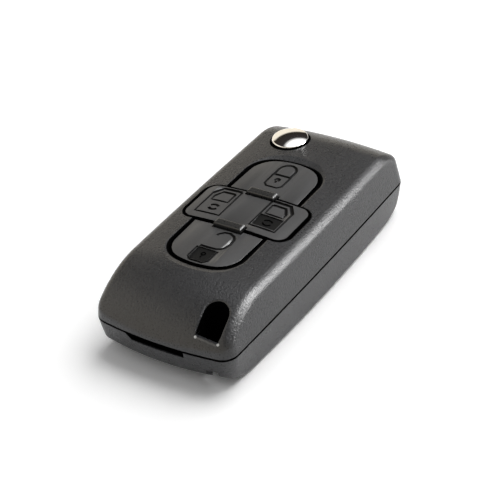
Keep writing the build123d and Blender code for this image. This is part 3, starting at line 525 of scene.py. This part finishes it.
def turning_marks(x, y):
    """Two curved strokes that chase each other: the sign for a door that slides both ways."""
    return [
        (1.2, arc(x, y + 0.1, 1.0, 0.75, 20, 160, 6)),
        (1.2, arc(x, y - 0.1, 1.0, 0.75, 200, 340, 6))]


door_panel = [(3.15, -1.2), (3.15, -5.05), (8.65, -5.05), (8.65, -1.2)]
engrave(
    "door_key", "door_rocker", "rocker", rocker_top,
    sliding_door(1, -7.55) + turning_marks(-7.4, -3.15) + sliding_door(-1, 5.95),
    [door_panel], turning_marks(5.9, -3.2))

# Release button: a drawn and polished cap with bright chrome plating, pressed on the plunger. The
# plating is a mirror, with the faint haze that fingers leave.

haze_size = 1.6
cap_polish = 0.05
cap_haze = 0.06
bright_chrome = Finish("bright_chrome", metallic=1.0)
haze = bright_chrome.noise(haze_size, detail=3.0)
bright_chrome.colour(bright_chrome.blend(haze, (0.80, 0.79, 0.77), (0.86, 0.85, 0.83)))
bright_chrome.roughness(cap_polish + cap_haze * haze)
dress(bright_chrome.material, "release_cap")

# Inside mouldings: the carrier, the turning hub and the chip in plain black, the plunger in natural
# acetal and the keypad mat in dark silicone.

plain_black = moulded_plastic(
    "plain_black", grain_size=0.5, grain_depth=0.01,
    dark=(0.020, 0.020, 0.020), light=(0.030, 0.030, 0.030), smooth=0.45, rough=0.60)
dress(plain_black.material, "board_carrier", "blade_hub", "transmitter_chip")
natural_acetal = moulded_plastic(
    "natural_acetal", grain_size=0.6, grain_depth=0.008,
    dark=(0.50, 0.50, 0.47), light=(0.58, 0.58, 0.55), smooth=0.38, rough=0.50)
dress(natural_acetal.material, "release_plunger")
dark_silicone = moulded_plastic(
    "dark_silicone", grain_size=0.4, grain_depth=0.01,
    dark=(0.10, 0.10, 0.10), light=(0.13, 0.13, 0.13), smooth=0.62, rough=0.80)
dress(dark_silicone.material, "keypad_mat")

# Metal pieces: nickel-plated blade and contacts, steel pin, washer, screw, switch domes and coin
# cell. Each is drawn or rolled, so its fine scratches run along its length.

scratch_width = 0.35
scratch_depth = 0.004
tarnish_size = 4.0


def drawn_metal(name, dark, light, smooth, rough, stretch):
    """Bright metal with fine drawing lines along the axis that stretch makes long."""
    finish = Finish(name, metallic=1.0)
    lines = finish.noise(scratch_width, detail=3.0, stretch=stretch)
    finish.colour(finish.blend(finish.noise(tarnish_size), dark, light))
    finish.roughness(smooth + (rough - smooth) * lines)
    finish.relief(lines, scratch_depth)
    return finish.material


nickel_blade = drawn_metal(
    "nickel_blade", dark=(0.46, 0.45, 0.43), light=(0.58, 0.57, 0.54), smooth=0.20, rough=0.38,
    stretch=(1, 0.06, 1))
dress(nickel_blade, "key_blade", "negative_contact", "positive_contact")
plain_steel = drawn_metal(
    "plain_steel", dark=(0.48, 0.48, 0.48), light=(0.58, 0.58, 0.57), smooth=0.26, rough=0.42,
    stretch=(1, 1, 0.1))
dress(plain_steel, "blade_pin", "hub_washer", "hub_screw", "coin_cell",
      "switch_lock", "switch_unlock", "switch_door_left", "switch_door_right")

# Flip spring: a coil of round steel wire that turns the blade out and pushes the release button up.
# Pressing the button closes its turns against the hub's floor.

flip_coil = welded_copy("flip_coil", "flip_spring", plain_steel)
flip_coil.data.shade_smooth()
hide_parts("flip_spring")
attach(flip_coil, "blade")
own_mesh(flip_coil)

# Electronics: the printed board under its green mask, the lacquered copper coil on its ferrite, and
# the transponder sealed in a glass capsule.

solder_mask = moulded_plastic(
    "solder_mask", grain_size=0.8, grain_depth=0.004,
    dark=(0.014, 0.085, 0.035), light=(0.022, 0.120, 0.050), smooth=0.28, rough=0.40)
dress(solder_mask.material, "circuit_board")
copper_winding = drawn_metal(
    "copper_winding", dark=(0.42, 0.17, 0.07), light=(0.52, 0.24, 0.11), smooth=0.25, rough=0.40,
    stretch=(0.1, 1, 1))
dress(copper_winding, "antenna_coil")
glass_cloud_size = 2.0
glass_polish = 0.08
glass_haze = 0.06
capsule = Finish("capsule_glass", Transmission_Weight=0.6, IOR=1.5)
glass_clouds = capsule.noise(glass_cloud_size)
capsule.colour(capsule.blend(glass_clouds, (0.50, 0.56, 0.50), (0.60, 0.66, 0.58)))
capsule.roughness(glass_polish + glass_haze * glass_clouds)
dress(capsule.material, "transponder")

# Stage: a pale table top and three soft lamps. A tall one that only gloss shows draws the light
# along the shoulder, a large far one makes the soft shadow and a weak one fills it. Mirrors see a
# sky that is dim and warm low down, dark above that and white overhead.

floor_reach = 0.26
floor_cloud_size = 60.0
floor_roughness = 0.9
floor_seen = (1.25, 1.25, 1.25)
floor_shape = bpy.data.meshes.new("table_top")
floor_shape.from_pydata([
    (-floor_reach, -floor_reach, 0), (floor_reach, -floor_reach, 0),
    (floor_reach, floor_reach, 0), (-floor_reach, floor_reach, 0)], [], [(0, 1, 2, 3)])
table = Finish("table_white", Roughness=floor_roughness)
pale = table.blend(table.noise(floor_cloud_size), (0.80, 0.80, 0.81), (0.84, 0.84, 0.85))
table.colour(table.blend(
    table.node("ShaderNodeLightPath", output="Is Diffuse Ray"), floor_seen, pale))
floor_shape.materials.append(table.material)
as_piece("table_top", floor_shape)

sky_tilt = (0.40, 0.30, 1.0)
sky_stops = [
    (0.34, (0.50, 0.46, 0.39)), (0.42, (0.012, 0.010, 0.008)), (0.78, (0.017, 0.015, 0.015)),
    (0.93, (1, 1, 1))]
plain_white = (1, 1, 1, 1)
ambient_strength = 0.27
mirror_strength = 2.2
backdrop_strength = 1.0
world = bpy.data.worlds.new("surround")
bpy.context.scene.world = world
world.use_nodes = True
sky = NodeWork(world.node_tree)
sky_height = sky.node(
    "ShaderNodeVectorMath", {"operation": "DOT_PRODUCT"},
    {0: sky.node("ShaderNodeTexCoord", output="Generated"), 1: sky_tilt}, output="Value")
sky_bands = sky.node("ShaderNodeValToRGB", {"stops": sky_stops}, {0: sky_height})


def surround(colour, strength):
    """One background shader of the world."""
    return sky.node("ShaderNodeBackground", inputs={"Color": colour, "Strength": strength})


def choose(ray, otherwise, seen):
    """One of two backgrounds, by the kind of ray."""
    return sky.node("ShaderNodeMixShader", inputs={
        0: sky.node("ShaderNodeLightPath", output=ray), 1: otherwise, 2: seen})


lit_by_sky = choose(
    "Is Glossy Ray", surround(plain_white, ambient_strength), surround(sky_bands, mirror_strength))
sky.feed(
    sky.tree.nodes["World Output"].inputs["Surface"],
    choose("Is Camera Ray", lit_by_sky, surround(plain_white, backdrop_strength)))
sky.tree.nodes.remove(sky.tree.nodes["Background"])


def soft_light(name, turn, rise, distance, width, height, power, glossy=True, diffuse=True):
    """A rectangular lamp that faces the object, turn degrees from +X and rise degrees up."""
    lamp = bpy.data.lights.new(name, "AREA")
    lamp.shape = "RECTANGLE"
    lamp.size = width
    lamp.size_y = height
    lamp.energy = power
    holder = as_piece(name, lamp)
    turn, rise = math.radians(turn), math.radians(rise)
    towards = Vector((
        math.cos(rise) * math.cos(turn), math.cos(rise) * math.sin(turn), math.sin(rise)))
    holder.visible_glossy = glossy
    holder.visible_diffuse = diffuse
    holder.location = towards * distance
    holder.rotation_euler = towards.to_track_quat("Z", "Y").to_euler()


soft_light(
    "window_light", turn=33, rise=35, distance=0.60, width=0.28, height=0.82, power=12.5,
    diffuse=False)
soft_light(
    "roof_light", turn=75, rise=54, distance=1.80, width=1.65, height=1.65, power=29.7,
    glossy=False)
soft_light(
    "fill_light", turn=-148, rise=40, distance=2.10, width=1.5, height=1.5, power=2.7)

# Camera: a long lens a little above the near end, turned and tilted slightly, as the photograph was
# taken. It looks at the middle of the parting plane.

azimuth = math.radians(36.53)
elevation = math.radians(35.51)
roll = math.radians(-6.64)
distance = 0.3366
parting_height = 0.008
photo_size = 500
back = Vector((
    math.sin(azimuth) * math.cos(elevation), -math.cos(azimuth) * math.cos(elevation),
    math.sin(elevation)))
level_right = (-back).cross(Vector((0, 0, 1))).normalized()
level_up = level_right.cross(-back)
right = level_right * math.cos(roll) + level_up * math.sin(roll)
up = level_up * math.cos(roll) - level_right * math.sin(roll)
lens = bpy.data.cameras.new("camera")
lens.lens = 115.2
lens.sensor_width = 36.0
lens.shift_x = -5.91 / photo_size
lens.shift_y = -5.62 / photo_size
lens.clip_start = 0.01
lens.clip_end = 20
camera = as_piece("camera", lens)
facing = Matrix((right, up, back)).transposed().to_4x4()
camera.matrix_world = Matrix.Translation(
    back * distance + Vector((0, 0, parting_height))) @ facing
bpy.context.scene.camera = camera
bpy.context.scene.view_settings.view_transform = "Standard"

bpy.context.view_layer.update()
